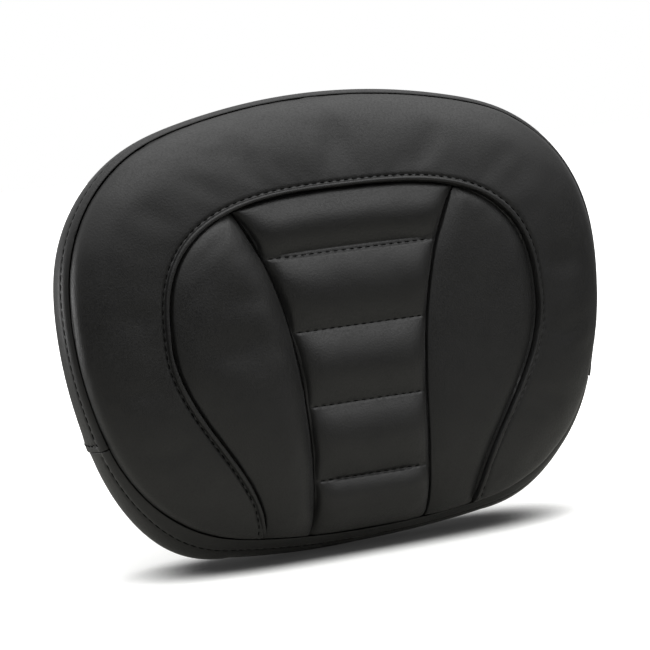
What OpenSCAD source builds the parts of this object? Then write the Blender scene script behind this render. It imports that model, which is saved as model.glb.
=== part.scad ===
// Sissy bar pad: a padded back rest for a motorcycle passenger.
// A foam core on a stiff board wears a sewn cover: one horseshoe panel, two side panels and a
// channelled centre panel in front, and a two-piece side band behind them. The band's pull strip is
// stapled to the board, a moulded cover closes the back, and four tee nuts take the mounting bolts.
// Millimetres. X is to the right seen from the front, the face looks along -Y, Z is up.
// The origin is the centre of the bolt pattern on the flat back.

/* [Face outline] */
// Width across the perimeter seam
pad_w = 330; // [290:1:370]
// Height from the top seam to the bottom seam
pad_h = 250; // [228:1:276]
// Radius of the two top corners
shoulder_r = 89; // [76:1:102]
// Radius of the two bottom corners
corner_r = 94; // [82:1:104]
// Direction at which the flat top turns into the corner, degrees from straight up
top_turn = 15.5; // [13:0.5:19]
// Direction at which the top corner turns into the flank
shoulder_turn = 85; // [80:0.5:88]
// Direction at which the flank turns into the bottom corner
flank_turn = 113; // [108:0.5:118]
// Direction at which the bottom corner turns into the flat bottom
corner_turn = 171.5; // [166:0.5:174]

/* [Crown] */
// Distance from the back plane to the perimeter seam at mid height
edge_depth = 38; // [30:0.5:48]
// How much deeper the seam lies at the bottom than at mid height
edge_wedge = 6; // [0:0.5:10]
// How far the seam comes forward at the two sides
edge_wing = 6; // [0:0.5:9]
// Rise of the face from the perimeter seam to its middle
crown_rise = 26.5; // [16:0.5:36]
// Flatness of the middle of the face
crown_flat = 2.95; // [2:0.05:4]
// Roundness of the rolled edge
crown_roll = 0.48; // [0.4:0.01:0.7]

/* [Arch seam] */
// Half width of the arch at its widest line
arch_half_w = 114; // [104:0.5:124]
// Height of the arch above its widest line
arch_rise = 76.5; // [66:0.5:84]
// Height of the widest line of the arch
arch_z = -4; // [-14:0.5:6]
// Squareness of the arch's shoulders
arch_square = 2.95; // [2.3:0.05:3.4]
// Half distance between the feet of the arch
foot_half_w = 66.5; // [58:0.5:74]
// Width of the folded ridge outside the arch seam
ridge_w = 3.2; // [2.5:0.1:5]
// Height of that ridge
ridge_h = 1.2; // [0.4:0.1:1.8]

/* [Centre panel] */
// Half width at the bottom
waist_half_w = 36.5; // [30:0.5:44]
// Half width that the panel's seams would reach at the top of the arch
crest_half_w = 73.5; // [64:0.5:84]
// How late the panel's seams flare
seam_flare = 3.6; // [2.6:0.1:4.4]
// Height of the uppermost of the four channel stitch lines
channel_top_z = 37.5; // [30:0.5:44]
// Distance from one stitch line to the next
channel_pitch = 42.8; // [39:0.2:46]
// Rise of a flute between two stitch lines
flute_rise = 3.2; // [0.5:0.1:4.5]

/* [Sewn cover] */
// Thickness of the sewing foam under a stitch line
sew_foam_t = 0.8; // [0.5:0.1:2]
// Thickness of the vinyl skin of the centre panel
skin_t = 1.8; // [1.2:0.1:2.4]
// Thickness of a panel at the perimeter seam
pinch_t = 2.5; // [2:0.1:3.5]
// Depth of the seams and stitch lines below the face
seam_drop = 3; // [1.5:0.1:3.8]
// Distance over which a panel rolls down to its seam
seam_roll = 11; // [6:0.5:16]
// Gap between two panels along their seam
seam_gap = 0.5; // [0.4:0.05:0.8]
// Thickness of the side band with its lining
band_t = 2; // [1.5:0.1:2.6]
// Height of the top-stitched ridge along the front of the side band
band_ridge_h = 1.1; // [0.5:0.1:1.6]
// Width of that ridge
band_ridge_w = 4.2; // [3:0.1:6]
// Direction of the joint between the upper and the lower side band
joint_turn = 111; // [100:1:125]
// Extra thickness of the folded end at that joint
joint_step = 0.9; // [0.3:0.1:1.4]

/* [Side band shape] */
// How far the back lies inside the perimeter seam at the sides
inset_side = 13; // [6:0.5:18]
// The same at the top
inset_top = 11; // [5:0.5:16]
// The same at the bottom
inset_bottom = 2; // [0:0.5:8]
// How far the band swells at the sides
swell_side = 7.5; // [3:0.5:10]
// The same at the top
swell_top = 4.5; // [3:0.5:8]
// The same at the bottom
swell_bottom = 9; // [5:0.5:13]
// How much more it swells at the two bottom corners
swell_corner = 4; // [0:0.5:6]

/* [Back] */
// Thickness of the base board
board_t = 9; // [7:0.5:12]
// Thickness of the back cover's plate
cover_t = 2.5; // [2:0.1:3.5]
// Height of the lip round the back cover
cover_lip_h = 0.9; // [0.8:0.1:1.5]
// Width of that lip
cover_lip_w = 4; // [3:0.5:6]
// How far the back cover's edge lies inside the board's edge
cover_inset = 5; // [3:0.5:9]
// Thickness of the pull strip
strip_t = 1.2; // [0.8:0.1:1.6]
// Width of the pull strip
strip_w = 24; // [20:0.5:30]

/* [Mounting] */
// Distance between the two columns of mounting bolts
bolt_dx = 76.2; // [60:0.1:100]
// Distance between the two rows of mounting bolts
bolt_dz = 50.8; // [40:0.1:80]
// Bore of a tee nut
nut_bore = 6.35; // [5:0.05:8]
// Outer diameter of a tee nut's barrel
nut_barrel = 8.4; // [8.1:0.1:10]
// Diameter of a tee nut's flange
nut_flange = 19; // [17:0.5:22]
// Thickness of a tee nut's flange
nut_flange_t = 1.5; // [1.2:0.1:2]
// Clearance round a tee nut's barrel in the back cover
barrel_clear = 0.55; // [0.3:0.05:1.5]

/* [Fasteners] */
// Number of staples round the pull strip
staple_count = 26; // [16:1:32]
// Length of a staple's crown
staple_w = 10; // [8:0.5:12]
// Thickness of the staple wire
staple_wire = 0.6; // [0.5:0.05:0.7]
// Depth to which a staple's legs are driven
staple_leg = 6; // [4:0.5:6.5]
// Head diameter of a back cover screw
screw_head = 8; // [7:0.1:9]
// Shank diameter of a back cover screw
screw_d = 3.8; // [3:0.1:4.5]
// Length of a back cover screw
screw_l = 12; // [9:0.5:12.5]
// Distance from a screw's boss to the pull strip
screw_clear = 5; // [2:0.5:12]

/* [Fits] */
// Gap between two soft layers
layer_gap = 0.7; // [0.5:0.1:1]
// Gap round a shank, barrel or leg in its hole
hole_gap = 0.1; // [0.05:0.05:0.2]

/* [Hidden] */
$fn = 48;

half_w = pad_w / 2;
half_h = pad_h / 2;

// Depths from the back plane, each piece resting on the one behind it
strip_back = cover_t + cover_lip_h;
board_back = strip_back + strip_t;
board_front = board_back + board_t;
board_core_gap = 0.3;
core_back = board_front + board_core_gap;

// Every face panel is as thick as the skin, a stitch line and the sewing foam under it
panel_t = seam_drop + skin_t + layer_gap + sew_foam_t;

vinyl = [0.13, 0.13, 0.13];
foam_colour = [0.86, 0.82, 0.62];

function lerp(a, b, t) = a + (b - a) * t;

// The face outline: five tangent arcs a side, from the top centre round to the bottom centre.
// A point's direction is that of its outward normal, in degrees from straight up.
turns = [0, top_turn, shoulder_turn, flank_turn, corner_turn, 180];
turn_sin = [for (t = turns) sin(t)];
turn_cos = [for (t = turns) cos(t)];
// The flat top and bottom take up what the width leaves, and the flank what the height leaves
top_a = (half_w - shoulder_r * (turn_sin[2] - turn_sin[1])) / turn_sin[1];
top_b = (1 - turn_sin[2]) / turn_sin[1];
low_a = (half_w - corner_r * (turn_sin[3] - turn_sin[4])) / turn_sin[4];
low_b = (1 - turn_sin[3]) / turn_sin[4];
corners_h = shoulder_r * (turn_cos[1] - turn_cos[2]) + corner_r * (turn_cos[3] - turn_cos[4]);
flank_r = (pad_h - corners_h - top_a * (1 - turn_cos[1]) - low_a * (turn_cos[4] + 1))
    / (turn_cos[2] - turn_cos[3] - top_b * (1 - turn_cos[1]) - low_b * (turn_cos[4] + 1));
arc_r = [top_a - top_b * flank_r, shoulder_r, flank_r, corner_r, low_a - low_b * flank_r];
function arc_centre(i) = i == 0
    ? [0, half_h - arc_r[0]]
    : arc_centre(i - 1) + (arc_r[i - 1] - arc_r[i]) * [turn_sin[i], turn_cos[i]];
arc_c = [for (i = [0:4]) arc_centre(i)];
arc_start = [for (i = [0:4]) arc_c[i] + arc_r[i] * [turn_sin[i], turn_cos[i]]];
arc_from = [for (p = arc_start) atan2(p[0], p[1])];

// Which of the five arcs holds a value, given where each arc starts
function arc_of(value, starts, i = 0) = i == 4 || value < starts[i + 1] ? i : arc_of(value, starts, i + 1);

// Outline point whose normal points at t, moved outwards by off; a negative t is on the left
function outline_at(t, off = 0) =
    let (i = arc_of(abs(t), turns), x = arc_c[i][0] + (arc_r[i] + off) * sin(abs(t)))
    [sign(t) * x, arc_c[i][1] + (arc_r[i] + off) * cos(abs(t))];
// Distance from the centre to the outline along a ray at angle a from straight up
function outline_r(a) =
    let (i = arc_of(abs(a), arc_from), c = arc_c[i], d = [sin(abs(a)), cos(abs(a))], m = d * c)
    m + sqrt(m * m - c * c + arc_r[i] * arc_r[i]);
// Height of the lower outline at a distance x from the middle
function outline_low(x) =
    let (i = abs(x) < arc_start[4][0] ? 4 : 3, dx = abs(x) - arc_c[i][0])
    arc_c[i][1] - sqrt(arc_r[i] * arc_r[i] - dx * dx);

// The crowned face: depth in front of the back plane at a place on the face
function seam_depth(x, z) = edge_depth - edge_wedge * z / half_h + edge_wing * pow(x / half_w, 2);
function face_share(x, z) = min(1, norm([x, z]) / outline_r(atan2(x, z)));
function face_depth(x, z) =
    seam_depth(x, z) + crown_rise * pow(max(0, 1 - pow(face_share(x, z), crown_flat)), crown_roll);
// Depth of the back of the face panels, which thin out close to the perimeter seam
thin_power = 30;
function panel_back(x, z) =
    face_depth(x, z) - lerp(panel_t, pinch_t, pow(face_share(x, z), thin_power));

// The arch seam: t is 0 at the top, 0.5 at the widest line and 1 at the foot
foot_z = outline_low(foot_half_w);
function arch_right(t) = t <= 0.5
    ? let (a = 180 * t, r = pow(pow(sin(a) / arch_half_w, arch_square)
                                + pow(max(0, cos(a)) / arch_rise, arch_square), -1 / arch_square))
      [r * sin(a), arch_z + r * cos(a)]
    : let (u = 2 * t - 1)
      [lerp(foot_half_w, arch_half_w, (1 + cos(180 * u)) / 2), lerp(arch_z, foot_z, u)];
function arch_x(z) = z >= arch_z
    ? arch_half_w * pow(max(0, 1 - pow((z - arch_z) / arch_rise, arch_square)), 1 / arch_square)
    : arch_right(0.5 + 0.5 * (arch_z - z) / (arch_z - foot_z))[0];
function arch_top(x) =
    arch_z + arch_rise * pow(max(0, 1 - pow(abs(x) / arch_half_w, arch_square)), 1 / arch_square);

// The seam between the centre panel and a side panel
waist_z = outline_low(waist_half_w);
crest_z = arch_z + arch_rise;
function seam_x(z) =
    lerp(waist_half_w, crest_half_w, pow(max(0, (z - waist_z) / (crest_z - waist_z)), seam_flare));
// Height at which that seam meets the arch, found by halving
function meet(lo, hi, n) = n == 0
    ? (lo + hi) / 2
    : let (m = (lo + hi) / 2) seam_x(m) < arch_x(m) ? meet(m, hi, n - 1) : meet(lo, m, n - 1);
meet_z = meet(arch_z, crest_z, 24);

// How far a panel's surface drops at a distance w from its seam
function roll(w) = -seam_drop * pow(1 - min(1, max(0, w) / seam_roll), 2);

// A closed solid between two grids of points, rows by columns, the first grid facing forwards
module grid_solid(front, back) {
    rows = len(front);
    cols = len(front[0]);
    count = rows * cols;
    points = [for (g = [front, back]) for (r = g) for (p = r) p];
    quads = concat(
        [for (i = [0:rows - 2]) for (j = [0:cols - 2])
            [i * cols + j, i * cols + j + 1, (i + 1) * cols + j + 1, (i + 1) * cols + j]],
        [for (i = [0:rows - 2]) for (j = [0:cols - 2])
            [count + (i + 1) * cols + j, count + (i + 1) * cols + j + 1, count + i * cols + j + 1,
             count + i * cols + j]],
        [for (j = [0:cols - 2]) [count + j, count + j + 1, j + 1, j]],
        [for (j = [0:cols - 2]) let (k = (rows - 1) * cols + j) [k, k + 1, count + k + 1, count + k]],
        [for (i = [0:rows - 2]) let (k = i * cols) [k, k + cols, count + k + cols, count + k]],
        [for (i = [0:rows - 2]) let (k = i * cols + cols - 1) [count + k, count + k + cols, k + cols, k]]
    );
    triangles = [for (q = quads) each [[q[0], q[2], q[1]], [q[0], q[3], q[2]]]];
    polyhedron(points, triangles);
}

// A place on the face and a depth, as a point
function at_depth(p, d) = [p[0], -d, p[1]];

// Outer panel: rows run round the arch, columns run from the arch seam out to the perimeter seam
outer_steps = 56;
// Distance from the arch seam, height over the face, and the share of the width it may take
ridge_rows = [[0, -seam_drop, 0], [0.7, -0.2, 0.05], [0.45 * ridge_w, ridge_h, 0.12],
              [0.85 * ridge_w, 0.8 * ridge_h, 0.2], [1.15 * ridge_w, -0.45, 0.28],
              [1.9 * ridge_w, 0, 0.4]];
outer_shares = [0.3, 0.55, 0.75, 0.88, 0.96, 1];
tip = 0.985;
function arch_side(t) = t < 0 ? let (p = arch_right(-t)) [-p[0], p[1]] : arch_right(t);
function outer_row(t) =
    let (a = arch_side(t), b = arch_side(t + 0.001), e = (b - a) / norm(b - a),
         ang = atan2(a[0], a[1]), ray = [sin(ang), cos(ang)],
         bite = abs(e[0] * ray[1] - e[1] * ray[0]),
         from = norm(a) + seam_gap / 2 / bite, to = outline_r(ang) - seam_gap,
         width = to - from,
         near = [for (r = ridge_rows) [from + min(r[0] / bite, r[2] * width), r[1]]],
         last = near[len(near) - 1][0])
    concat([for (n = near) [ray * n[0], n[1]]],
           [for (s = outer_shares) [ray * lerp(last, to, s), 0]]);
module outer_panel() {
    grid = [for (i = [0:outer_steps]) outer_row(lerp(tip, -tip, i / outer_steps))];
    color(vinyl)
    grid_solid([for (r = grid) [for (c = r) at_depth(c[0], face_depth(c[0][0], c[0][1]) + c[1])]],
               [for (r = grid) [for (c = r) at_depth(c[0], panel_back(c[0][0], c[0][1]))]]);
}

// Side panels: rows climb from the perimeter seam to the point where the two seams meet
// The rows lie closer together toward both ends, where the face and the arch curve most
side_rows = 18;
side_cols = 9;
side_tip = 0.995;
function ease(t) = (1 - cos(180 * t)) / 2;
module side_panel(side) {
    grid = [for (i = [0:side_rows])
        let (t = ease(i / side_rows) * side_tip, zs = lerp(waist_z, meet_z, t), za = lerp(foot_z, meet_z, t),
             inner = [seam_x(zs) + seam_gap / 2, zs], outer = [arch_x(za) - seam_gap / 2, za],
             lift = i == 0 ? [0, seam_gap] : [0, 0], w = norm(outer - inner))
        [for (j = [0:side_cols])
            let (u = ease(side > 0 ? j / side_cols : 1 - j / side_cols), p = lerp(inner, outer, u) + lift)
            [[side * p[0], p[1]], roll(u * w) + roll((1 - u) * w)]]];
    color(vinyl)
    grid_solid([for (r = grid) [for (c = r)
                    at_depth(c[0], face_depth(c[0][0], c[0][1]) + max(-seam_drop, c[1]))]],
               [for (r = grid) [for (c = r) at_depth(c[0], panel_back(c[0][0], c[0][1]))]]);
}
module left_panel() side_panel(-1);
module right_panel() side_panel(1);

// Centre panel: five flutes between the four stitch lines
flute_steps = [0, 0.08, 0.25, 0.5, 0.75, 0.92];
channel_z = [for (k = [3:-1:0]) channel_top_z - k * channel_pitch];
flute_ends = concat([waist_z], channel_z, [meet_z]);
centre_cols = 12;
// Heights of the rows, each with its share of the way up its flute
flute_rows = concat(
    [for (k = [0:len(flute_ends) - 2]) for (s = flute_steps)
        [lerp(flute_ends[k], flute_ends[k + 1], s), s]],
    [[meet_z, 1]]);
// A flute is fullest halfway between its stitch lines and a little flattened there
flute_fullness = 0.85;
function flute(s) = pow(sin(180 * s), flute_fullness);
// The rows bend toward the bottom seam and the arch only near the two ends of the panel
bend_power = 6;
function centre_place(z, u) =
    let (v = (z - waist_z) / (meet_z - waist_z), x = (seam_x(z) - seam_gap / 2) * u,
         foot_drop = (outline_low(x) + seam_gap - waist_z) * pow(1 - v, bend_power),
         head_lift = (arch_top(x) - seam_gap / 2 - meet_z) * pow(v, bend_power))
    [x, z + foot_drop + head_lift];
function centre_height(z, s, u) =
    let (side = roll((1 - abs(u)) * seam_x(z)))
    max(-seam_drop, side + lerp(-seam_drop, flute_rise, flute(s)) * (1 + side / seam_drop));
module centre_panel() {
    grid = [for (r = flute_rows) [for (j = [0:centre_cols])
        let (u = 2 * ease(j / centre_cols) - 1) [centre_place(r[0], u), centre_height(r[0], r[1], u)]]];
    front = [for (r = grid) [for (c = r) at_depth(c[0], face_depth(c[0][0], c[0][1]) + c[1])]];
    back = [for (r = front) [for (p = r) p + [0, skin_t, 0]]];
    color(vinyl) grid_solid(front, back);
}

// Sewing foam behind the flutes, trimmed back from the seams round the centre panel
flute_foam_cols = 8;
foam_width = 0.95;
foam_trim_rows = 2;
module flute_foam() {
    rows = [for (i = [foam_trim_rows:len(flute_rows) - 1 - foam_trim_rows]) flute_rows[i]];
    grid = [for (r = rows) [for (j = [0:flute_foam_cols])
        let (u = foam_width * (2 * ease(j / flute_foam_cols) - 1))
        [centre_place(r[0], u), centre_height(r[0], r[1], u)]]];
    color(foam_colour)
    grid_solid([for (r = grid) [for (c = r)
                    at_depth(c[0], face_depth(c[0][0], c[0][1]) + c[1] - skin_t - layer_gap)]],
               [for (r = grid) [for (c = r) at_depth(c[0], panel_back(c[0][0], c[0][1]))]]);
}

// The side band's section at a place on the outline: s is 0 at the perimeter seam and 1 at the back
function round_about(side, top, bottom, t) =
    side + ((cos(t) > 0 ? top : bottom) - side) * pow(cos(t), 2);
function inset_at(t) = round_about(inset_side, inset_top, inset_bottom, t);
function swell_at(t) = round_about(swell_side, swell_top, swell_bottom, t)
    + (cos(t) < 0 ? swell_corner * pow(sin(2 * t), 2) : 0);
taper_power = 1.5;
function band_off(t, s) = 4 * swell_at(t) * s * (1 - s) - inset_at(t) * pow(s, taper_power);
function band_front(t) = let (p = outline_at(t)) seam_depth(p[0], p[1]) - seam_gap;
function band_depth(t, s) = lerp(band_front(t), strip_back, s);
function band_share(t, d) = (band_front(t) - d) / (band_front(t) - strip_back);
// Distance behind the perimeter seam and height over the band for the top-stitched ridge
band_rows = [[0, 0.6], [0.8, band_ridge_h], [0.5 * band_ridge_w, 1.15 * band_ridge_h],
             [0.9 * band_ridge_w, band_ridge_h], [1.15 * band_ridge_w, 0], [1.7 * band_ridge_w, 0.1]];
band_shares = [0.34, 0.48, 0.62, 0.76, 0.89, 1];
function around(t) = t < -180 ? t + 360 : t;
function band_row(t, step) =
    let (len = band_front(t) - strip_back)
    concat([for (r = band_rows) [r[0] / len, r[1] + step]], [for (s = band_shares) [s, step]]);
function band_outer(t, c) = at_depth(outline_at(t, band_off(t, c[0]) + c[1]), band_depth(t, c[0]));
// The band is thin at the perimeter seam and has its full thickness a sixth of the way back
function band_inner(t, c) =
    at_depth(outline_at(t, band_off(t, c[0]) - band_t * min(1, 6 * c[0])), band_depth(t, c[0]));
// A band runs between two ray angles, with a folded step at its two ends
module band(from, to, steps, step) {
    rows = concat([[0, step], [0.25, step], [0.5, 0]], [for (i = [1:steps - 1]) [i, 0]],
                  [[steps - 0.5, 0], [steps - 0.25, step], [steps, step]]);
    turns_here = [for (r = rows) [angle_place(around(lerp(from, to, r[0] / steps)), 0)[1], r[1]]];
    color(vinyl)
    grid_solid([for (t = turns_here) [for (c = band_row(t[0], t[1])) band_outer(t[0], c)]],
               [for (t = turns_here) [for (c = band_row(t[0], 0)) band_inner(t[0], c)]]);
}
// Half the gap between the two bands at the joint, in degrees
joint_gap = 0.15;
joint_place = outline_at(joint_turn);
joint_angle = atan2(joint_place[0], joint_place[1]);
module upper_band() band(joint_angle - joint_gap, joint_gap - joint_angle, 42, joint_step);
module lower_band() band(-joint_angle - joint_gap, joint_angle + joint_gap - 360, 30, 0);

// A closed solid of rings about the middle, with a point at its front and at its back
module ring_solid(rings, front, back) {
    n = len(rings[0]);
    points = concat([front], [for (r = rings) each r], [back]);
    last = len(points) - 1;
    around_faces = [for (k = [0:len(rings) - 2]) for (i = [0:n - 1])
        let (a = 1 + k * n + i, b = 1 + k * n + (i + 1) % n) each [[a, b, b + n], [a, b + n, a + n]]];
    front_fan = [for (i = [0:n - 1]) [0, 1 + (i + 1) % n, 1 + i]];
    back_fan = [for (i = [0:n - 1]) [last, last - n + i, last - n + (i + 1) % n]];
    polyhedron(points, concat(front_fan, around_faces, back_fan));
}

// Foam core: fills the cover from the board to the backs of the panels
core_steps = 52;
core_shares = [0.22, 0.42, 0.6, 0.75, 0.85, 0.91, 0.95];
core_side_rows = 4;
core_side_start = 0.1;
module foam_core() {
    spots = [for (i = [0:core_steps - 1]) 360 * i / core_steps - 180];
    fronts = [for (f = core_shares) [for (t = spots)
        let (a = angle_place(t, 0), p = a[0] * f) at_depth(p, panel_back(p[0], p[1]) - layer_gap)]];
    sides = [for (k = [0:core_side_rows]) [for (t = spots)
        let (a = angle_place(t, 0), last = band_share(a[1], core_back),
             s = lerp(core_side_start, last, k / core_side_rows))
        at_depth(outline_at(a[1], band_off(a[1], s) - band_t - layer_gap), band_depth(a[1], s))]];
    color(foam_colour)
    ring_solid(concat(fronts, sides), [0, layer_gap - panel_back(0, 0), 0], [0, -core_back, 0]);
}

// Place on the outline along a ray at angle a, moved inwards, with the turn of its normal
function angle_place(a, inwards) =
    let (i = arc_of(abs(a), arc_from), p = outline_r(a) * [sin(abs(a)), cos(abs(a))],
         n = (p - arc_c[i]) / arc_r[i], q = p - inwards * n, k = a < 0 ? -1 : 1)
    [[k * q[0], q[1]], k * atan2(n[0], n[1])];

// Flat pieces: a slab between two depths, and a round rod between two depths
past = 1;
module slab(from, to) translate([0, -from, 0]) rotate([90, 0, 0]) linear_extrude(to - from) children();
module rod(p, from, to, d1, d2) {
    translate([p[0], -from, p[1]]) rotate([90, 0, 0]) cylinder(d1 = d1, d2 = d2, h = to - from);
}
// The board's outline moved inwards, as a flat shape
board_gap = 0.4;
outline_steps = 72;
function board_off(t) = -inset_at(t) - band_t - board_gap;
module board_shape(inwards = 0) {
    polygon([for (i = [0:outline_steps - 1])
        let (t = 360 * i / outline_steps - 180) outline_at(t, board_off(t) - inwards)]);
}
bolt_places = [for (x = [-1, 1]) for (z = [-1, 1]) [x * bolt_dx / 2, z * bolt_dz / 2]];
screw_boss_wall = 2;
screw_boss = screw_head + 2 * screw_boss_wall;
screw_line = strip_w + screw_clear + screw_boss / 2;
screw_places = [for (a = [-150:60:150])
    let (e = angle_place(a, 0)) angle_place(a, screw_line - board_off(e[1]))[0]];

// Staples stand in a line inside the back cover's lip
staple_margin = 3;
staple_line = cover_inset + cover_lip_w + staple_margin;
staple_leg_w = 1;
staple_places = [for (k = [0:staple_count - 1])
    let (a = 360 * (k + 0.5) / staple_count - 180, e = angle_place(a, 0))
    [angle_place(a, staple_line - board_off(e[1]))[0], e[1]]];
module leg_shapes(gap) {
    for (s = staple_places)
        translate(s[0]) rotate(-s[1])
        for (k = [-1, 1])
            translate([k * (staple_w - staple_wire) / 2, 0])
            square([staple_wire + 2 * gap, staple_leg_w + 2 * gap], center = true);
}
leg_end = board_back + staple_leg;

prong_r = 7;
prong_size = [1.2, 2.4];
prong_l = 5;
module prong_shapes(gap) {
    for (a = [45:90:315])
        rotate(a) translate([prong_r, 0])
        square([prong_size[0] + 2 * gap, prong_size[1] + 2 * gap], center = true);
}
flange_back = board_front - nut_flange_t;
pilot_depth = 0.8;
pilot_end = screw_l + pilot_depth;

barrel_hole = nut_barrel + 2 * hole_gap;
flange_hole = nut_flange + 4 * hole_gap;
module base_board() {
    color([0.72, 0.58, 0.4])
    difference() {
        union() {
            slab(board_back, leg_end + hole_gap) difference() {
                board_shape();
                leg_shapes(hole_gap);
            }
            slab(leg_end + hole_gap, board_front) board_shape();
        }
        for (p = bolt_places) {
            rod(p, board_back - past, board_front + past, barrel_hole, barrel_hole);
            rod(p, flange_back, board_front + past, flange_hole, flange_hole);
            translate([p[0], 0, p[1]])
                slab(flange_back - prong_l - hole_gap, flange_back + nut_flange_t / 2)
                prong_shapes(hole_gap);
        }
        for (p = screw_places)
            rod(p, board_back - past, pilot_end, screw_d + 2 * hole_gap, screw_d + 2 * hole_gap);
    }
}

module pull_strip() {
    color([0.2, 0.2, 0.21])
    slab(strip_back, board_back) difference() {
        board_shape();
        board_shape(strip_w);
        leg_shapes(hole_gap);
    }
}

module staples() {
    color("silver")
    for (s = staple_places)
        translate([s[0][0], 0, s[0][1]]) rotate([0, s[1], 0]) union() {
            slab(strip_back - staple_wire, strip_back) square([staple_w, staple_leg_w], center = true);
            for (k = [-1, 1])
                slab(strip_back - staple_wire, leg_end)
                    translate([k * (staple_w - staple_wire) / 2, 0])
                    square([staple_wire, staple_leg_w], center = true);
        }
}

// A tee nut's barrel comes through the back cover and ends flush with it
module tee_nuts() {
    color("gainsboro")
    for (p = bolt_places)
        difference() {
            union() {
                rod(p, 0, board_front, nut_barrel, nut_barrel);
                rod(p, flange_back, board_front, nut_flange, nut_flange);
                translate([p[0], 0, p[1]]) slab(flange_back - prong_l, flange_back + nut_flange_t / 2)
                    prong_shapes(0);
            }
            rod(p, -past, board_front + past, nut_bore, nut_bore);
        }
}

bolt_hole = nut_barrel + 2 * barrel_clear;
bolt_boss_wall = 4.5;
bolt_boss = bolt_hole + 2 * bolt_boss_wall;
head_gap = 0.2;
head_l = 2.1;
module back_cover() {
    color([0.1, 0.1, 0.1])
    difference() {
        union() {
            slab(0, cover_t) board_shape(cover_inset);
            slab(cover_t, strip_back) difference() {
                board_shape(cover_inset);
                board_shape(cover_inset + cover_lip_w);
            }
            for (p = bolt_places) rod(p, cover_t / 2, board_back, bolt_boss, bolt_boss);
            for (p = screw_places) rod(p, cover_t / 2, board_back, screw_boss, screw_boss);
        }
        for (p = bolt_places) rod(p, -past, board_back + past, bolt_hole, bolt_hole);
        for (p = screw_places) {
            rod(p, -past, board_back + past, screw_d + 4 * hole_gap, screw_d + 4 * hole_gap);
            rod(p, 0, head_l, screw_head + 2 * head_gap, screw_d + 2 * head_gap);
        }
    }
}

head_back = 0.1;
// The cross recess in a screw's head
recess_l = 4.4;
recess_w = 0.9;
recess_depth = 1.1;
module cover_screws() {
    color([0.15, 0.15, 0.15])
    for (p = screw_places)
        difference() {
            union() {
                rod(p, head_back, head_l, screw_head, screw_d);
                rod(p, head_l, screw_l, screw_d, screw_d);
            }
            translate([p[0], 0, p[1]]) slab(head_back - past, head_back + recess_depth) {
                square([recess_l, recess_w], center = true);
                square([recess_w, recess_l], center = true);
            }
        }
}

outer_panel();
left_panel();
right_panel();
centre_panel();
flute_foam();
upper_band();
lower_band();
foam_core();
base_board();
pull_strip();
staples();
tee_nuts();
back_cover();
cover_screws();
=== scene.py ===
# %% [markdown]
# # A sewn motorcycle back rest
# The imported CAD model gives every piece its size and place. This lesson turns its plain solids
# into sewn vinyl: smooth rolled panels, puckered seams, thread, grain and a soft studio.
# Lengths in the tables are millimetres, and MM turns them into Blender's metres.

# %% Load the frame
import bpy
import math
from mathutils import Matrix, Vector, noise
from mathutils.bvhtree import BVHTree
from mathutils.kdtree import KDTree


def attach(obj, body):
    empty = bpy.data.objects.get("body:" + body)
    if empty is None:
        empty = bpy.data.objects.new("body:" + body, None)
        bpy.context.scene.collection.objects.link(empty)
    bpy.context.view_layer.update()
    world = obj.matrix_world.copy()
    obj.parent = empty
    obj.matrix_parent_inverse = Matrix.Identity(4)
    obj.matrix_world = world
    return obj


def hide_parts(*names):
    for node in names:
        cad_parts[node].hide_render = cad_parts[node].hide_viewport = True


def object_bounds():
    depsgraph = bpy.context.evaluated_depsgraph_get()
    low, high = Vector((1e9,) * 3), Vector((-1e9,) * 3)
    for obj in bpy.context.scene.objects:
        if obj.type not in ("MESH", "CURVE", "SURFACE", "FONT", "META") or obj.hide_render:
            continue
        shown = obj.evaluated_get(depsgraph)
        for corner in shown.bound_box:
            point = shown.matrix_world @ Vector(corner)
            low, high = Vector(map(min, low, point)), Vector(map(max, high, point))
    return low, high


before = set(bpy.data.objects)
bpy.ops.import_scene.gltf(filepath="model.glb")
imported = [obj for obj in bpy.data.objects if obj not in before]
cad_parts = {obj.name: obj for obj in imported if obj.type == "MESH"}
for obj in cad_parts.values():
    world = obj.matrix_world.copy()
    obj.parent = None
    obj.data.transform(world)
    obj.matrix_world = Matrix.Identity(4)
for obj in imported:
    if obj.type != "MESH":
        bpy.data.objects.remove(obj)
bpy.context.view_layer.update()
MM = 0.001

# %% [markdown]
# ## Sizes
# The pad is a block of foam under a sewn vinyl face. Its seams and outline could be picked from the mesh,
# but the formulas of the CAD source are repeated here instead, because a stitch can then be asked to lie
# at a given distance from a seam. The sizes are in millimetres.

# %% Sizes of the pad
PAD_W, PAD_H = 330.0, 250.0
ARC_TURNS = [0, 15.5, 85, 113, 171.5, 180]
SHOULDER_R, CORNER_R = 89.0, 94.0
EDGE_DEPTH, EDGE_WEDGE, EDGE_WING = 38.0, 6.0, 6.0
ARCH_HALF_W, ARCH_RISE, ARCH_Z, ARCH_SQUARE, FOOT_HALF_W = 114.0, 76.5, -4.0, 2.95, 66.5
WAIST_HALF_W, CREST_HALF_W, SEAM_FLARE = 36.5, 73.5, 3.6


def lerp(a, b, t):
    return a + (b - a) * t


def sin(a):
    return math.sin(math.radians(a))


def cos(a):
    return math.cos(math.radians(a))


print("the pad across its perimeter seam in mm:", PAD_W, "x", PAD_H)

# %% [markdown]
# ## The outline
# From the front the pad is a rounded shield. A freehand curve could trace it, but five tangent arcs a side
# describe it with few numbers: top, shoulder, flank, corner and bottom. A point on it is found by its
# turn, the direction of its outward normal, counted in degrees from straight up.

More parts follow.
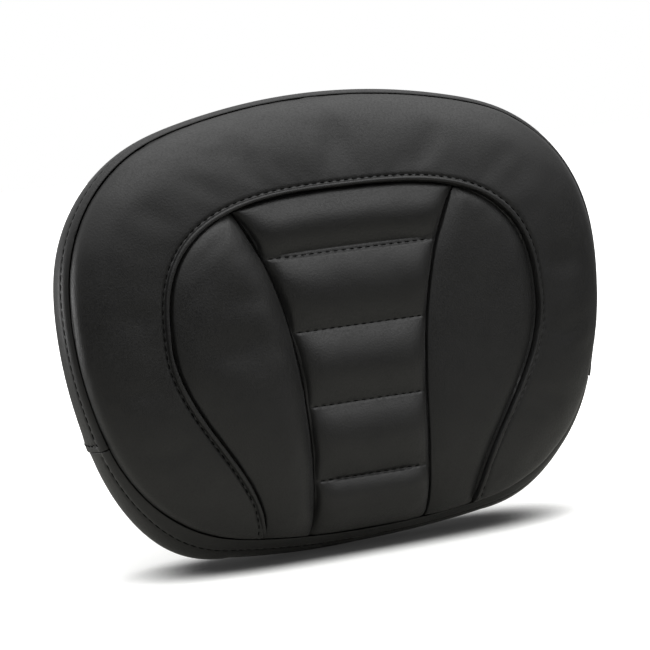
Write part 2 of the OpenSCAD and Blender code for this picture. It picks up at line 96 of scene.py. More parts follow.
# %% Radii and centres of the arcs
turn_sin = [sin(t) for t in ARC_TURNS]
turn_cos = [cos(t) for t in ARC_TURNS]
half_w, half_h = PAD_W / 2, PAD_H / 2
top_a = (half_w - SHOULDER_R * (turn_sin[2] - turn_sin[1])) / turn_sin[1]
top_b = (1 - turn_sin[2]) / turn_sin[1]
low_a = (half_w - CORNER_R * (turn_sin[3] - turn_sin[4])) / turn_sin[4]
low_b = (1 - turn_sin[3]) / turn_sin[4]
corners_h = SHOULDER_R * (turn_cos[1] - turn_cos[2]) + CORNER_R * (turn_cos[3] - turn_cos[4])
flank_r = (PAD_H - corners_h - top_a * (1 - turn_cos[1]) - low_a * (turn_cos[4] + 1)) / (
    turn_cos[2] - turn_cos[3] - top_b * (1 - turn_cos[1]) - low_b * (turn_cos[4] + 1))
arc_r = [top_a - top_b * flank_r, SHOULDER_R, flank_r, CORNER_R, low_a - low_b * flank_r]
arc_c = [Vector((0, half_h - arc_r[0]))]
for i in range(1, 5):
    arc_c.append(arc_c[-1] + (arc_r[i - 1] - arc_r[i]) * Vector((turn_sin[i], turn_cos[i])))
arc_start = [arc_c[i] + arc_r[i] * Vector((turn_sin[i], turn_cos[i])) for i in range(5)]
arc_from = [math.degrees(math.atan2(p[0], p[1])) for p in arc_start]
print("arc radii in mm:", [round(r, 1) for r in arc_r])

# %% Points on the outline


def arc_of(value, starts):
    """The number of the arc that a direction falls in, by where the arcs start."""
    return max([i for i in range(5) if value >= starts[i]] or [0])


def outline_at(turn, off=0.0):
    """Outline point whose normal points at turn, moved outwards by off; a negative turn is on the left."""
    i = arc_of(abs(turn), ARC_TURNS)
    x = arc_c[i][0] + (arc_r[i] + off) * sin(abs(turn))
    return math.copysign(x, turn), arc_c[i][1] + (arc_r[i] + off) * cos(abs(turn))


def outline_low(x):
    """Height of the lower outline at a distance x from the middle."""
    i = 4 if abs(x) < arc_start[4][0] else 3
    return arc_c[i][1] - math.sqrt(arc_r[i] ** 2 - (abs(x) - arc_c[i][0]) ** 2)


# %% [markdown]
# ## Seams on the face
# Four vinyl panels meet in an arch and two upright seams, and the perimeter seam joins them to the side
# band. Mesh edges would give these lines too, but only as finely as the mesh is cut. The arch is a
# superellipse that draws in to its two feet, and the centre panel flares toward the top.

# %% Seam formulas
foot_z, waist_z, crest_z = outline_low(FOOT_HALF_W), outline_low(WAIST_HALF_W), ARCH_Z + ARCH_RISE


def arch_point(t):
    """The arch seam: t runs from -1 at the left foot over 0 at the top to 1 at the right foot."""
    side, t = math.copysign(1, t), abs(t)
    if t > 0.5:
        u = 2 * t - 1
        return side * lerp(FOOT_HALF_W, ARCH_HALF_W, (1 + cos(180 * u)) / 2), lerp(ARCH_Z, foot_z, u)
    a, n = 180 * t, ARCH_SQUARE
    r = ((sin(a) / ARCH_HALF_W) ** n + (max(0.0, cos(a)) / ARCH_RISE) ** n) ** (-1 / n)
    return side * r * sin(a), ARCH_Z + r * cos(a)


def seam_x(z):
    """How far an upright seam lies from the middle at a height z."""
    share = max(0.0, (z - waist_z) / (crest_z - waist_z))
    return lerp(WAIST_HALF_W, CREST_HALF_W, share ** SEAM_FLARE)


def seam_depth(x, z):
    """How far the perimeter seam lies in front of the back."""
    return EDGE_DEPTH - EDGE_WEDGE * z / half_h + EDGE_WING * (x / half_w) ** 2


print("feet of the arch at z =", round(foot_z, 1), "and the waist at z =", round(waist_z, 1))

# %% [markdown]
# ## Material helpers
# Every finish is procedural, worked out by the shader with no picture behind it. Written out node by node
# that gets long, so a few functions add a node with its settings and links. Colours are sRGB hex values,
# turned into linear light, and the patterns are scaled in millimetres.

# %% Nodes


def fill(tree, made, **inputs):
    """Give each named input of a node a value or a link; _0 is its first input."""
    for key, value in inputs.items():
        socket = made.inputs[int(key[1:])] if key[0] == "_" else made.inputs[key.replace("_", " ")]
        if isinstance(value, bpy.types.NodeSocket):
            tree.links.new(value, socket)
        else:
            socket.default_value = value
    return made


def node(tree, kind, settings=(), **inputs):
    """Add a node, set its properties and fill its inputs."""
    made = tree.nodes.new("ShaderNode" + kind)
    for key, value in dict(settings).items():
        setattr(made, key, value)
    return fill(tree, made, **inputs)


def rescale(tree, value, low, high, to_low, to_high):
    """Map the span from low to high onto another span, and clamp what lies beyond."""
    return node(tree, "MapRange", _0=value, _1=low, _2=high, _3=to_low, _4=to_high).outputs[0]


# %% Colours, coordinates and bumps


def linear(hex_colour):
    """An sRGB hex colour as linear RGBA."""
    parts = [int(hex_colour[i:i + 2], 16) / 255 for i in (1, 3, 5)]
    return [p / 12.92 if p <= 0.04045 else ((p + 0.055) / 1.055) ** 2.4 for p in parts] + [1.0]


def ramp(tree, factor, stops):
    """A colour ramp of (position, sRGB hex) stops."""
    made = node(tree, "ValToRGB", Fac=factor)
    while len(made.color_ramp.elements) < len(stops):
        made.color_ramp.elements.new(0.5)
    for element, (position, colour) in zip(made.color_ramp.elements, stops):
        element.position, element.color = position, linear(colour)
    return made.outputs["Color"]


def relief(tree, shader, height, strength, depth_mm, invert=False):
    """Bump the shader's normal by a height."""
    bump = node(tree, "Bump", {"invert": invert}, Strength=strength, Distance=depth_mm * MM, Height=height)
    tree.links.new(bump.outputs[0], shader.inputs["Normal"])


def new_material(name):
    """A material with an empty Principled shader, and coordinates in millimetres."""
    material = bpy.data.materials.new(name)
    material.use_nodes = True
    tree = material.node_tree
    place = node(tree, "TexCoord")
    in_mm = node(tree, "VectorMath", {"operation": "SCALE"}, _0=place.outputs["Object"], Scale=1 / MM)
    return material, tree, tree.nodes["Principled BSDF"], in_mm.outputs[0]


print("black vinyl's base in linear light:", round(linear("#090909")[0], 4))

# %% [markdown]
# ## Black vinyl
# The cover is satin upholstery vinyl with a fine leather grain, a little paler on rubbed edges and where
# dust lies. A scanned picture could show that, but it would stretch over the rolled panels. Here cells of
# about 1 mm over finer noise make the grain, and a slow noise makes the paler clouds.

# %% Vinyl


def vinyl_material(name, base, pale, rough):
    material, tree, shader, mm = new_material(name)
    grain = node(tree, "TexVoronoi", {"feature": "SMOOTH_F1"}, Vector=mm, Scale=0.95).outputs["Distance"]
    fine = node(tree, "TexNoise", Vector=mm, Scale=1.9, Detail=3.0).outputs["Fac"]
    soft = node(tree, "TexNoise", Vector=mm, Scale=0.055, Detail=3.0).outputs["Fac"]
    worn = rescale(tree, node(tree, "NewGeometry").outputs["Pointiness"], 0.50, 0.60, 0.0, 0.35)
    cloud = rescale(tree, soft, 0.35, 0.7, 0.0, 0.5)
    tone = node(tree, "Math", {"operation": "ADD"}, _0=worn, _1=cloud).outputs[0]
    height = node(tree, "Math", {"operation": "MULTIPLY_ADD"}, _0=fine, _1=0.35, _2=grain).outputs[0]
    relief(tree, shader, height, 0.55, 0.12, invert=True)
    fill(tree, shader, Base_Color=ramp(tree, tone, [(0.0, base), (1.0, pale)]),
         Roughness=rescale(tree, grain, 0.1, 0.7, rough - 0.05, rough + 0.1),
         IOR=1.52, Sheen_Weight=0.05, Sheen_Roughness=0.5)
    return material


vinyl = vinyl_material("Black upholstery vinyl", "#090909", "#161615", 0.44)
print("material:", vinyl.name)

# %% [markdown]
# ## Thread, foam and lining
# The thread is twisted polyester, the stuffing is cream foam with open cells, and the strip round the back
# is a woven lining. Real fibres and cells could be modelled, but at this size a bump shows them as well:
# a wave for the twist, cells for the foam, and two crossed waves for the weave.

# %% Thread and foam


def thread_material():
    material, tree, shader, mm = new_material("Black polyester thread")
    twist = node(tree, "TexWave", Vector=mm, Scale=1.1, Distortion=1.5, Detail=2.0).outputs["Fac"]
    relief(tree, shader, twist, 0.5, 0.1)
    fill(tree, shader, Base_Color=ramp(tree, twist, [(0.0, "#020202"), (1.0, "#0b0b0b")]),
         Roughness=0.9, Specular_IOR_Level=0.12)
    return material


def foam_material():
    material, tree, shader, mm = new_material("Cream polyurethane foam")
    cells = node(tree, "TexVoronoi", Vector=mm, Scale=1.4).outputs["Distance"]
    stains = node(tree, "TexNoise", Vector=mm, Scale=0.03, Detail=3.0).outputs["Fac"]
    relief(tree, shader, cells, 0.7, 0.3, invert=True)
    fill(tree, shader, Base_Color=ramp(tree, stains, [(0.3, "#d9cfa4"), (0.7, "#c9b988")]), Roughness=0.9)
    return material


thread, foam = thread_material(), foam_material()
print("materials:", thread.name, "and", foam.name)

# %% Woven lining


def lining_material():
    material, tree, shader, mm = new_material("Black woven lining")
    across, along = [node(tree, "TexWave", {"bands_direction": axis}, Vector=mm, Scale=0.32,
                          Distortion=0.4).outputs["Fac"] for axis in "XZ"]
    weave = node(tree, "Math", {"operation": "MULTIPLY"}, _0=across, _1=along).outputs[0]
    relief(tree, shader, weave, 0.6, 0.2)
    fill(tree, shader, Base_Color=ramp(tree, weave, [(0.0, "#0e0e0f"), (0.6, "#242426")]),
         Roughness=0.85, Sheen_Weight=0.2)
    return material


lining = lining_material()
print("material:", lining.name)

# %% [markdown]
# ## Plywood, steel and plastic
# Behind the vinyl are a plywood board, zinc-plated tee nuts and staples, a moulded plastic cover and black
# screws. One plain colour each would look like toys. Plywood gets a noise stretched along its grain, zinc
# its pale cells, plastic a fine orange peel, and black oxide a brighter steel on its worn edges.

# %% Board and cover


def plywood_material():
    material, tree, shader, mm = new_material("Birch plywood")
    along = node(tree, "VectorMath", {"operation": "MULTIPLY"}, _0=mm, _1=(0.02, 1.0, 0.3)).outputs[0]
    grain = node(tree, "TexNoise", Vector=along, Scale=0.8, Detail=6.0).outputs["Fac"]
    relief(tree, shader, grain, 0.3, 0.2)
    stops = [(0.25, "#a9794a"), (0.6, "#caa06a"), (0.9, "#8d6238")]
    fill(tree, shader, Base_Color=ramp(tree, grain, stops), Roughness=0.6)
    return material


def plastic_material():
    material, tree, shader, mm = new_material("Black textured polypropylene")
    orange_peel = node(tree, "TexNoise", Vector=mm, Scale=1.6, Detail=2.0).outputs["Fac"]
    dust = node(tree, "TexNoise", Vector=mm, Scale=0.02, Detail=4.0).outputs["Fac"]
    relief(tree, shader, orange_peel, 0.5, 0.1)
    fill(tree, shader, Base_Color=ramp(tree, dust, [(0.3, "#161616"), (0.75, "#232322")]),
         Roughness=0.55, IOR=1.49)
    return material


plywood, plastic = plywood_material(), plastic_material()
print("materials:", plywood.name, "and", plastic.name)

# %% Two steels, and the CAD nodes that keep their shape


def zinc_material():
    material, tree, shader, mm = new_material("Zinc-plated steel")
    spangle = node(tree, "TexVoronoi", Vector=mm, Scale=0.8).outputs["Distance"]
    haze = node(tree, "TexNoise", Vector=mm, Scale=0.7, Detail=4.0).outputs["Fac"]
    fill(tree, shader, Base_Color=ramp(tree, spangle, [(0.0, "#9aa0a2"), (1.0, "#c3c7c6")]),
         Roughness=rescale(tree, haze, 0.0, 1.0, 0.25, 0.5), Metallic=1.0)
    return material


def oxide_material():
    material, tree, shader, mm = new_material("Black oxide steel")
    worn = rescale(tree, node(tree, "NewGeometry").outputs["Pointiness"], 0.5, 0.62, 0.0, 1.0)
    smear = node(tree, "TexNoise", Vector=mm, Scale=0.9, Detail=3.0).outputs["Fac"]
    fill(tree, shader, Base_Color=ramp(tree, worn, [(0.0, "#161617"), (1.0, "#5a5b5c")]),
         Roughness=rescale(tree, smear, 0.0, 1.0, 0.3, 0.5), Metallic=0.8)
    return material


zinc, oxide = zinc_material(), oxide_material()
KEPT_NODES = {"base_board": plywood, "pull_strip": lining, "staples": zinc, "tee_nuts": zinc,
              "cover_screws": oxide}
for name, material in KEPT_NODES.items():
    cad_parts[name].data.materials.clear()
    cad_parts[name].data.materials.append(material)
    print(name, "is", material.name)

# %% [markdown]
# ## Tools for the panels
# A sewn panel is a thin skin with rolled edges. It could be sculpted anew, but a copy of its CAD solid has
# the right size already. Its loose triangles are merged and joined into quads, its cut rims are creased so
# that no seam opens, and subdivision rounds the rest.

# %% Copy a CAD node
MERGE, SHARP = 0.01, math.radians(60)


def select_only(obj):
    bpy.ops.object.select_all(action="DESELECT")
    obj.select_set(True)
    bpy.context.view_layer.objects.active = obj


def copy_node(name, piece_name):
    """A merged quad copy of a CAD node that stands for it."""
    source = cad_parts[name]
    piece = bpy.data.objects.new(piece_name, source.data.copy())
    bpy.context.scene.collection.objects.link(piece)
    select_only(piece)
    bpy.ops.object.mode_set(mode="EDIT")
    bpy.ops.mesh.select_all(action="SELECT")
    bpy.ops.mesh.remove_doubles(threshold=MERGE * MM)
    bpy.ops.mesh.tris_convert_to_quads(face_threshold=SHARP, shape_threshold=SHARP)
    bpy.ops.mesh.normals_make_consistent(inside=False)
    bpy.ops.object.mode_set(mode="OBJECT")
    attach(piece, "root")
    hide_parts(name)
    return piece


# %% Round a piece and paint it


def crease_rims(piece):
    """Hold the cut edges of a panel, so that rounding it opens no gap at a seam."""
    select_only(piece)
    bpy.ops.object.mode_set(mode="EDIT")
    bpy.ops.mesh.select_mode(type="EDGE")
    bpy.ops.mesh.select_all(action="DESELECT")
    bpy.ops.mesh.edges_select_sharp(sharpness=SHARP)
    bpy.ops.transform.edge_crease(value=1.0)
    bpy.ops.object.mode_set(mode="OBJECT")


def subdivide(piece, levels):
    select_only(piece)
    modifier = piece.modifiers.new("Round", "SUBSURF")
    modifier.levels = levels
    bpy.ops.object.modifier_apply(modifier=modifier.name)


def paint(piece, material):
    piece.data.materials.clear()
    piece.data.materials.append(material)
    select_only(piece)
    bpy.ops.object.shade_smooth()


# %% [markdown]
# ## Where the seams are
# Much of what makes sewn vinyl look sewn happens close to a seam. Going through all points of a seam for
# each point of the mesh would be slow. A search tree answers at once which of them is nearest.

# %% Search trees of the seams


def flat(x, z):
    """A place on the face, given in millimetres, as a point in metres."""
    return Vector((x * MM, 0, z * MM))


def tree_of(points):
    tree = KDTree(len(points))
    for i, point in enumerate(points):
        tree.insert(point, i)
    tree.balance()
    return tree


def gap_to(tree, point):
    """The distance in millimetres from a point to a seam, seen from the front."""
    return tree.find((point.x, 0, point.z))[2] / MM


upright_places = [flat(side * seam_x(z), z) for side in (-1, 1) for z in range(int(waist_z), 72, 3)]
seam_tree = tree_of([flat(*arch_point(i / 100)) for i in range(-100, 101)] + upright_places
                    + [flat(*outline_at(turn)) for turn in range(-179, 180, 2)])
uprights = tree_of([flat(side * seam_x(waist_z + k), waist_z + k) for side in (-1, 1) for k in range(190)])
rim = tree_of([flat(*outline_at(turn / 2)) for turn in range(-360, 361)])
arch = tree_of([flat(*arch_point(i / 400)) for i in range(-400, 401)])
print("from the middle of the pad to the arch:", round(gap_to(arch, Vector((0, 0, 0))), 1), "mm")

# %% [markdown]
# ## Letting the vinyl settle
# Foam presses the vinyl out between its seams. That could be modelled by hand, but a short Cloth run with
# a little pressure finds folds of its own. The rims and the back are held, gravity is off, and no point
# may move further than a set distance, so the panel stays on its CAD solid.

# %% Cloth run
PRESSURE, MOST_MOVE, HELD_WITHIN, FREE_BEYOND = 1.2, 1.2, 4.0, 14.0
BACK_ABOVE, STEPS = -0.1, 20


def hold_rims(piece):
    """A vertex group that holds the back of a panel and everything close to a seam."""
    group = piece.vertex_groups.new(name="held")
    for corner in piece.data.vertices:
        hold = 1 - (gap_to(seam_tree, corner.co) - HELD_WITHIN) / (FREE_BEYOND - HELD_WITHIN)
        if corner.normal.y > BACK_ABOVE:
            hold = 1.0
        group.add([corner.index], min(1.0, max(0.0, hold)), "REPLACE")


def add_cloth(piece):
    """A Cloth modifier blown up from inside, with the held points pinned."""
    cloth = piece.modifiers.new("Cloth", "CLOTH")
    cloth.settings.quality = 5
    cloth.settings.use_pressure = True
    cloth.settings.uniform_pressure_force = PRESSURE
    cloth.settings.shrink_min = -0.003
    cloth.settings.tension_stiffness = cloth.settings.compression_stiffness = 20
    cloth.settings.bending_stiffness = 2
    cloth.settings.vertex_group_mass = "held"
    cloth.settings.effector_weights.gravity = 0
    cloth.point_cache.frame_end = STEPS


# %% Settle one panel


def settle(piece):
    hold_rims(piece)
    before = [corner.co.copy() for corner in piece.data.vertices]
    select_only(piece)
    add_cloth(piece)
    for step in range(1, STEPS + 1):
        bpy.context.scene.frame_set(step)
    bpy.ops.object.modifier_apply(modifier="Cloth")
    moved = []
    for corner, start in zip(piece.data.vertices, before):
        way = corner.co - start
        if way.length > MOST_MOVE * MM:
            corner.co = start + way.normalized() * MOST_MOVE * MM
        moved.append((corner.co - start).length / MM)
    piece.vertex_groups.clear()
    bpy.context.scene.frame_set(1)
    mean = sum(moved) / len(moved)
    print(piece.name, "settled by up to", round(max(moved), 2), "mm, on average", round(mean, 2))


# %% [markdown]
# ## The vinyl panels
# Four panels make the face and two strips make the side band. They could be one skin with drawn seams, but
# the real ones are cut and sewn apart, so each is a piece. The two strips and the centre panel lie taut
# over their foam, and only the outer and the two side panels settle.

# %% Face panels and side bands
SETTLED, SOFT_BY = ("outer_panel", "left_panel", "right_panel"), 0.8
PANELS = {"outer_panel": "outer_panel_vinyl", "left_panel": "left_panel_vinyl",
          "right_panel": "right_panel_vinyl", "centre_panel": "centre_panel_vinyl",
          "upper_band": "upper_band_vinyl", "lower_band": "lower_band_vinyl"}
panels = {}
for name, piece_name in PANELS.items():
    piece = copy_node(name, piece_name)
    crease_rims(piece)
    subdivide(piece, 1)
    if name in SETTLED:
        settle(piece)
    subdivide(piece, 1)
    paint(piece, vinyl)
    panels[name] = piece
    print(piece_name, len(piece.data.polygons), "faces")

# %% [markdown]
# ## Foam
# The foam is hidden, but it could shine through where two panels meet. On the real pad the folded edges of
# the vinyl, the seam allowances, lie on it there. Strips of their own could be modelled for them, but black
# faces on the foam behind every seam do the same for the eye.

# %% Foam behind the panels
ALLOWANCE, FRONT_BELOW, FOAM_SOFT_BY = 11.0, 0.3, 1.0
for name, piece_name in {"foam_core": "foam_core_block", "flute_foam": "flute_foam_sheet"}.items():
    piece = copy_node(name, piece_name)
    crease_rims(piece)
    subdivide(piece, 2)
    paint(piece, foam)
    piece.data.materials.append(vinyl)
    for face in piece.data.polygons:
        near = gap_to(seam_tree, face.center) < ALLOWANCE
        face.material_index = int(near and face.normal.y < FRONT_BELOW)
    print(piece_name, len(piece.data.polygons), "faces")

# %% [markdown]
# ## Back cover
# The cover is a moulded plate, and a mould leaves no edge quite sharp. Rounding it by subdivision would
# soften its flat face, so a narrow bevel breaks the edges instead. The flat faces are shaded flat, because
# smooth shading draws dark wedges over long thin triangles.

# %% Back cover with broken edges
BEVEL_W, BEVEL_OVER, SLIVER, FLAT_FROM = 0.4, math.radians(35), 0.03, 0.999
cover = copy_node("back_cover", "back_cover_moulding")
modifier = cover.modifiers.new("Edges", "BEVEL")
modifier.width, modifier.segments, modifier.angle_limit = BEVEL_W * MM, 2, BEVEL_OVER
bpy.ops.object.modifier_apply(modifier=modifier.name)
select_only(cover)
bpy.ops.object.mode_set(mode="EDIT")
bpy.ops.mesh.select_all(action="SELECT")
bpy.ops.mesh.dissolve_degenerate(threshold=SLIVER * MM)
bpy.ops.object.mode_set(mode="OBJECT")
cover.data.materials.clear()
cover.data.materials.append(plastic)
select_only(cover)
bpy.ops.object.shade_smooth_by_angle(angle=math.radians(30))
for face in cover.data.polygons:
    face.use_smooth = abs(face.normal.y) < FLAT_FROM
print("back cover:", len(cover.data.polygons), "faces")

# %% [markdown]
# ## Seams drawn in
# Sewing pulls the vinyl into a seam, so the groove there is deeper than the smooth panels show, and a side
# panel stands up like a pillow between its seams. A sculpting brush could do it. A bell curve of the
# distance to the seam does it evenly along the whole line.

# %% Shaping tools
FRONT_LIMIT = 0.35
EDGE_LIFT, PILLOW, PILLOW_W = 2.9, 2.4, {"arch": 16.0, "other": 9.0}


def bell(distance, width):
    return math.exp(-(distance / width) ** 2)


def shift(piece, moves):
    """Move points only once all moves are known, because a moved point changes the normals beside it."""
    for index, move in moves.items():
        piece.data.vertices[index].co += move
    print(piece.name, len(moves), "points moved")


def draw_in(piece, tree, depth, width, within):
    """Move the front of a piece back, most at the seam; a negative depth brings it forward."""
    moves = {}
    for corner in piece.data.vertices:
        away = gap_to(tree, corner.co)
        if away < within and corner.normal.y < FRONT_LIMIT:
            moves[corner.index] = Vector((0, depth * bell(away, width) * MM, 0))
    shift(piece, moves)


def pillow(piece):
    """Bring the front of a side panel forward: a little at the arch seam, more in its middle."""
    moves = {}
    for corner in piece.data.vertices:
        if corner.normal.y < FRONT_LIMIT:
            a, u, r = [1 - bell(gap_to(tree, corner.co), PILLOW_W[kind])
                       for tree, kind in ((arch, "arch"), (uprights, "other"), (rim, "other"))]
            moves[corner.index] = Vector((0, -(EDGE_LIFT + PILLOW * a) * u * r * MM, 0))
    shift(piece, moves)


# %% Draw the seams in
# Each row is a panel, its seam, the depth there, how wide the groove is, and where it ends.
TUCK = (uprights, 2.3, 2.1, 5)
DRAWN_IN = [("left_panel", *TUCK), ("right_panel", *TUCK), ("centre_panel", *TUCK),
            ("centre_panel", arch, -1.2, 5, 14), ("outer_panel", rim, 1.1, 1.8, 5)]
pillow(panels["left_panel"])
pillow(panels["right_panel"])
for name, *groove in DRAWN_IN:
    draw_in(panels[name], *groove)

# %% [markdown]
# ## An uneven side band
# A hand-sewn band is never quite even: the real one sags out at its lower left corner, and its right end
# lies closer in. The CAD band is even, since a part in a library should be. The unevenness is looks only,
# so it is added here, with amounts set until the outline lay on the photo's.

# %% Uneven places of the side band
# Each row is a side (-1 is the left), the turn it lies at, its spread, and how far it stands out.
UNEVEN = [(-1, 157.0, 22.0, 6.4), (1, 104.0, 13.0, -1.7), (1, 158.0, 18.0, 2.6)]
STRIP_BACK, SIDE_BLEND, FULLEST = 3.4, 15, 0.8


def sag_at(x, turn, s):
    """How far the band stands out at x, at a turn, at a share s of its depth counted from the seam."""
    across = math.sin(math.pi * s ** FULLEST)
    return across * sum(out_mm * bell(turn - at, spread) / (1 + math.exp(-side * x / SIDE_BLEND))
                        for side, at, spread, out_mm in UNEVEN)


def sag_out(piece):
    moves = {}
    for corner in piece.data.vertices:
        x, depth, z = corner.co.x / MM, -corner.co.y / MM, corner.co.z / MM
        i = arc_of(math.degrees(math.atan2(abs(x), z)), arc_from)
        out = (Vector((abs(x), z)) - arc_c[i]).normalized()
        turn = math.degrees(math.atan2(out[0], out[1]))
        s = min(1.0, max(0.0, 1 - (depth - STRIP_BACK) / (seam_depth(x, z) - STRIP_BACK)))
        moves[corner.index] = Vector((math.copysign(out[0], x), 0, out[1])) * sag_at(x, turn, s) * MM
    shift(piece, moves)


sag_out(panels["lower_band"])
sag_out(panels["upper_band"])

# %% [markdown]
# ## Stitch lines
# Rows of stitches show beside the arch, in the four channels, round the side band and over its two joints.
# The upright seams are sewn from behind and show none. A row could be drawn by hand as a curve, but it
# would float or sink on a pillowed face. Rays cast at the panels put every point of it on the vinyl.

# %% Casting rays at the panels
RAY_FROM, RAY_OUT, SEAM_LIP = 200, 40, 0.5


def skin_of(pieces):
    """One search tree over the surfaces of several pieces."""
    corners, faces = [], []
    for piece in pieces:
        start = len(corners)
        corners += [v.co.copy() for v in piece.data.vertices]
        faces += [[start + i for i in p.vertices] for p in piece.data.polygons]
    return BVHTree.FromPolygons(corners, faces)


def on_face(tree, x, z):
    """The vinyl's surface in front of a place on the face, in metres."""
    return tree.ray_cast(Vector((x * MM, -RAY_FROM * MM, z * MM)), Vector((0, 1, 0)))[:2]


def on_band(tree, turn, back):
    """The side band's surface at a distance behind the perimeter seam, in metres."""
    depth = seam_depth(*outline_at(turn)) - SEAM_LIP - back
    x, z = outline_at(turn, RAY_OUT)
    inward = Vector((-math.copysign(sin(abs(turn)), turn), 0, -cos(turn)))
    return tree.ray_cast(Vector((x * MM, -depth * MM, z * MM)), inward)[:2]


# %% Points at even distances


def even_points(points, step):
    """The same line with points at even distances."""
    line, left = [points[0]], step
    for a, b in zip(points, points[1:]):
        gone, span = 0.0, (b - a).length
        while span - gone >= left:
            gone += left
            line.append(a.lerp(b, gone / span))
            left = step
        left -= span - gone
    return line


# %% Places of the stitch lines
# The zigzag of a joint: the turn it lies at, how far behind the seam it starts, its width in degrees, and
# the number of points in one of its legs.
ARCH_OFF, BAND_OFF, ARCH_END = 4.1, 5.6, 0.985
CHANNELS, CHANNEL_TOP_Z, CHANNEL_PITCH, CHANNEL_SHORT = 4, 37.5, 42.8, 2.5
JOINT_TURN, JOINT_BACK, ZIG_W, ZIG, ZIG_POINTS = 109.6, 3, 0.5, 3, 56


def arch_places():
    """Places on the face along the arch seam, moved outwards by the distance of its stitches."""
    for i in range(-240, 241):
        t = i / 240 * ARCH_END
        a, b = Vector(arch_point(t)), Vector(arch_point(t + 0.002))
        out = Vector((a[1] - b[1], b[0] - a[0])).normalized()
        yield a + out * ARCH_OFF


def stitch_places(tree):
    """Every stitch line by name, each a list of (point, normal)."""
    lines = {"arch_stitches": [on_face(tree, *p) for p in arch_places()],
             "band_stitches": [on_band(tree, 180 - i, BAND_OFF) for i in range(1, 360)]}
    for k in range(CHANNELS):
        z = CHANNEL_TOP_Z - k * CHANNEL_PITCH
        reach = seam_x(z) - CHANNEL_SHORT
        lines[f"channel_stitches_{k + 1}"] = [on_face(tree, reach * (i / 40 - 1), z) for i in range(81)]
    for side, word in ((-1, "left"), (1, "right")):
        zigzag = [(JOINT_TURN + ZIG_W * abs(i % (2 * ZIG) - ZIG) / ZIG, JOINT_BACK + i / 2)
                  for i in range(ZIG_POINTS)]
        lines[f"joint_stitches_{word}"] = [on_band(tree, side * turn, back) for turn, back in zigzag]
    return lines


lines = stitch_places(skin_of(panels.values()))
print({name: len(line) for name, line in lines.items()})

# %% [markdown]
# ## Dents under the stitches
# Thread under tension pulls the vinyl down at each stitch, and the ridge of the arch swells beside it. A
# bump map would shade that, but the outline of the groove would stay straight. So the mesh is cut finer
# near the thread and its points are pressed in.

# %% Cut the mesh finer beside the thread
# By kind of seam: how deep the vinyl is pressed in, and how far the thread stands over its surface.
STITCHING = {"arch": (0.8, -0.12), "channel": (0.8, -0.12), "band": (0.7, 0.12), "joint": (0.4, 0.15)}
PITCH, STITCH = 5.0, 3.9
DENT_W, LIP, LIP_AT, LIP_W, NEAR, LINE_STEP = 0.95, 0.55, 2.2, 1.1, 4.2, 0.5


def kind_of(name):
    return name.split("_")[0]


def refine_near(piece, tree):
    """Cut the faces beside a stitch line once more."""
    select_only(piece)
    bpy.ops.object.mode_set(mode="EDIT")
    bpy.ops.mesh.select_mode(type="FACE")
    bpy.ops.mesh.select_all(action="DESELECT")
    bpy.ops.object.mode_set(mode="OBJECT")
    for face in piece.data.polygons:
        face.select = tree.find(face.center)[2] < NEAR * MM
    bpy.ops.object.mode_set(mode="EDIT")
    bpy.ops.mesh.subdivide(number_cuts=1, smoothness=0)
    bpy.ops.object.mode_set(mode="OBJECT")


# %% Press the vinyl in under each stitch


def press_in(piece, name, line):
    """A groove along the line, deepest in the middle of each stitch; the arch's ridge swells beside it."""
    tree = tree_of(even_points([place for place, _ in line], LINE_STEP * MM))
    refine_near(piece, tree)
    moves = {}
    for corner in piece.data.vertices:
        _, i, away = tree.find(corner.co)
        if away < NEAR * MM:
            along = 0.5 + 0.5 * math.cos(2 * math.pi * (i * LINE_STEP - STITCH / 2) / PITCH)
            depth = STITCHING[kind_of(name)][0] * bell(away / MM, DENT_W) * (0.4 + 0.6 * along)
            if kind_of(name) == "arch" and gap_to(arch, corner.co) < ARCH_OFF:
                depth -= LIP * bell(away / MM - LIP_AT, LIP_W)
            moves[corner.index] = -corner.normal * depth * MM
    shift(piece, moves)


# %% Press every row
USED_BY = {"arch_stitches": ["outer_panel"], "band_stitches": ["upper_band", "lower_band"],
           "joint_stitches_left": ["upper_band"], "joint_stitches_right": ["upper_band"]}
for name, line in lines.items():
    for panel in USED_BY.get(name, ["centre_panel"]):
        press_in(panels[panel], name, line)
        print(name, "on", panel, len(panels[panel].data.polygons), "faces")

# %% [markdown]
# ## Soft dents
# Vinyl over foam is never dead flat. A bump map could ripple it, but reflections on a satin face show every
# broad dent, so real ones are better. Noise moves the points: broad dents of a few centimetres, and fine
# drag lines that run up and down the face.

# %% Soft dents and drag lines


def soften(piece, deep=0.45, fine=0.10):
    moves = {}
    for corner in piece.data.vertices:
        place = corner.co / MM
        broad = noise.noise(place * 0.022) + 0.5 * noise.noise(place * 0.06 + Vector((7, 3, 1)))
        small = noise.noise(Vector((place.x * 0.35, place.y * 0.2, place.z * 0.12)))
        moves[corner.index] = corner.normal * (deep * broad + fine * small) * MM
    shift(piece, moves)


for name in ("outer_panel", "left_panel", "right_panel", "centre_panel"):
    soften(panels[name])

# %% [markdown]
# ## Thread
# Each row is black thread in stitches of about 4 mm, some hundreds in all. Placing every one by hand would
# take long. One small capsule is made instead: an Array repeats it along a line on the pressed vinyl, and
# a Curve modifier bends the row to the surface.

# %% One stitch
THREAD_W, PATH_STEP = 0.75, 1.0


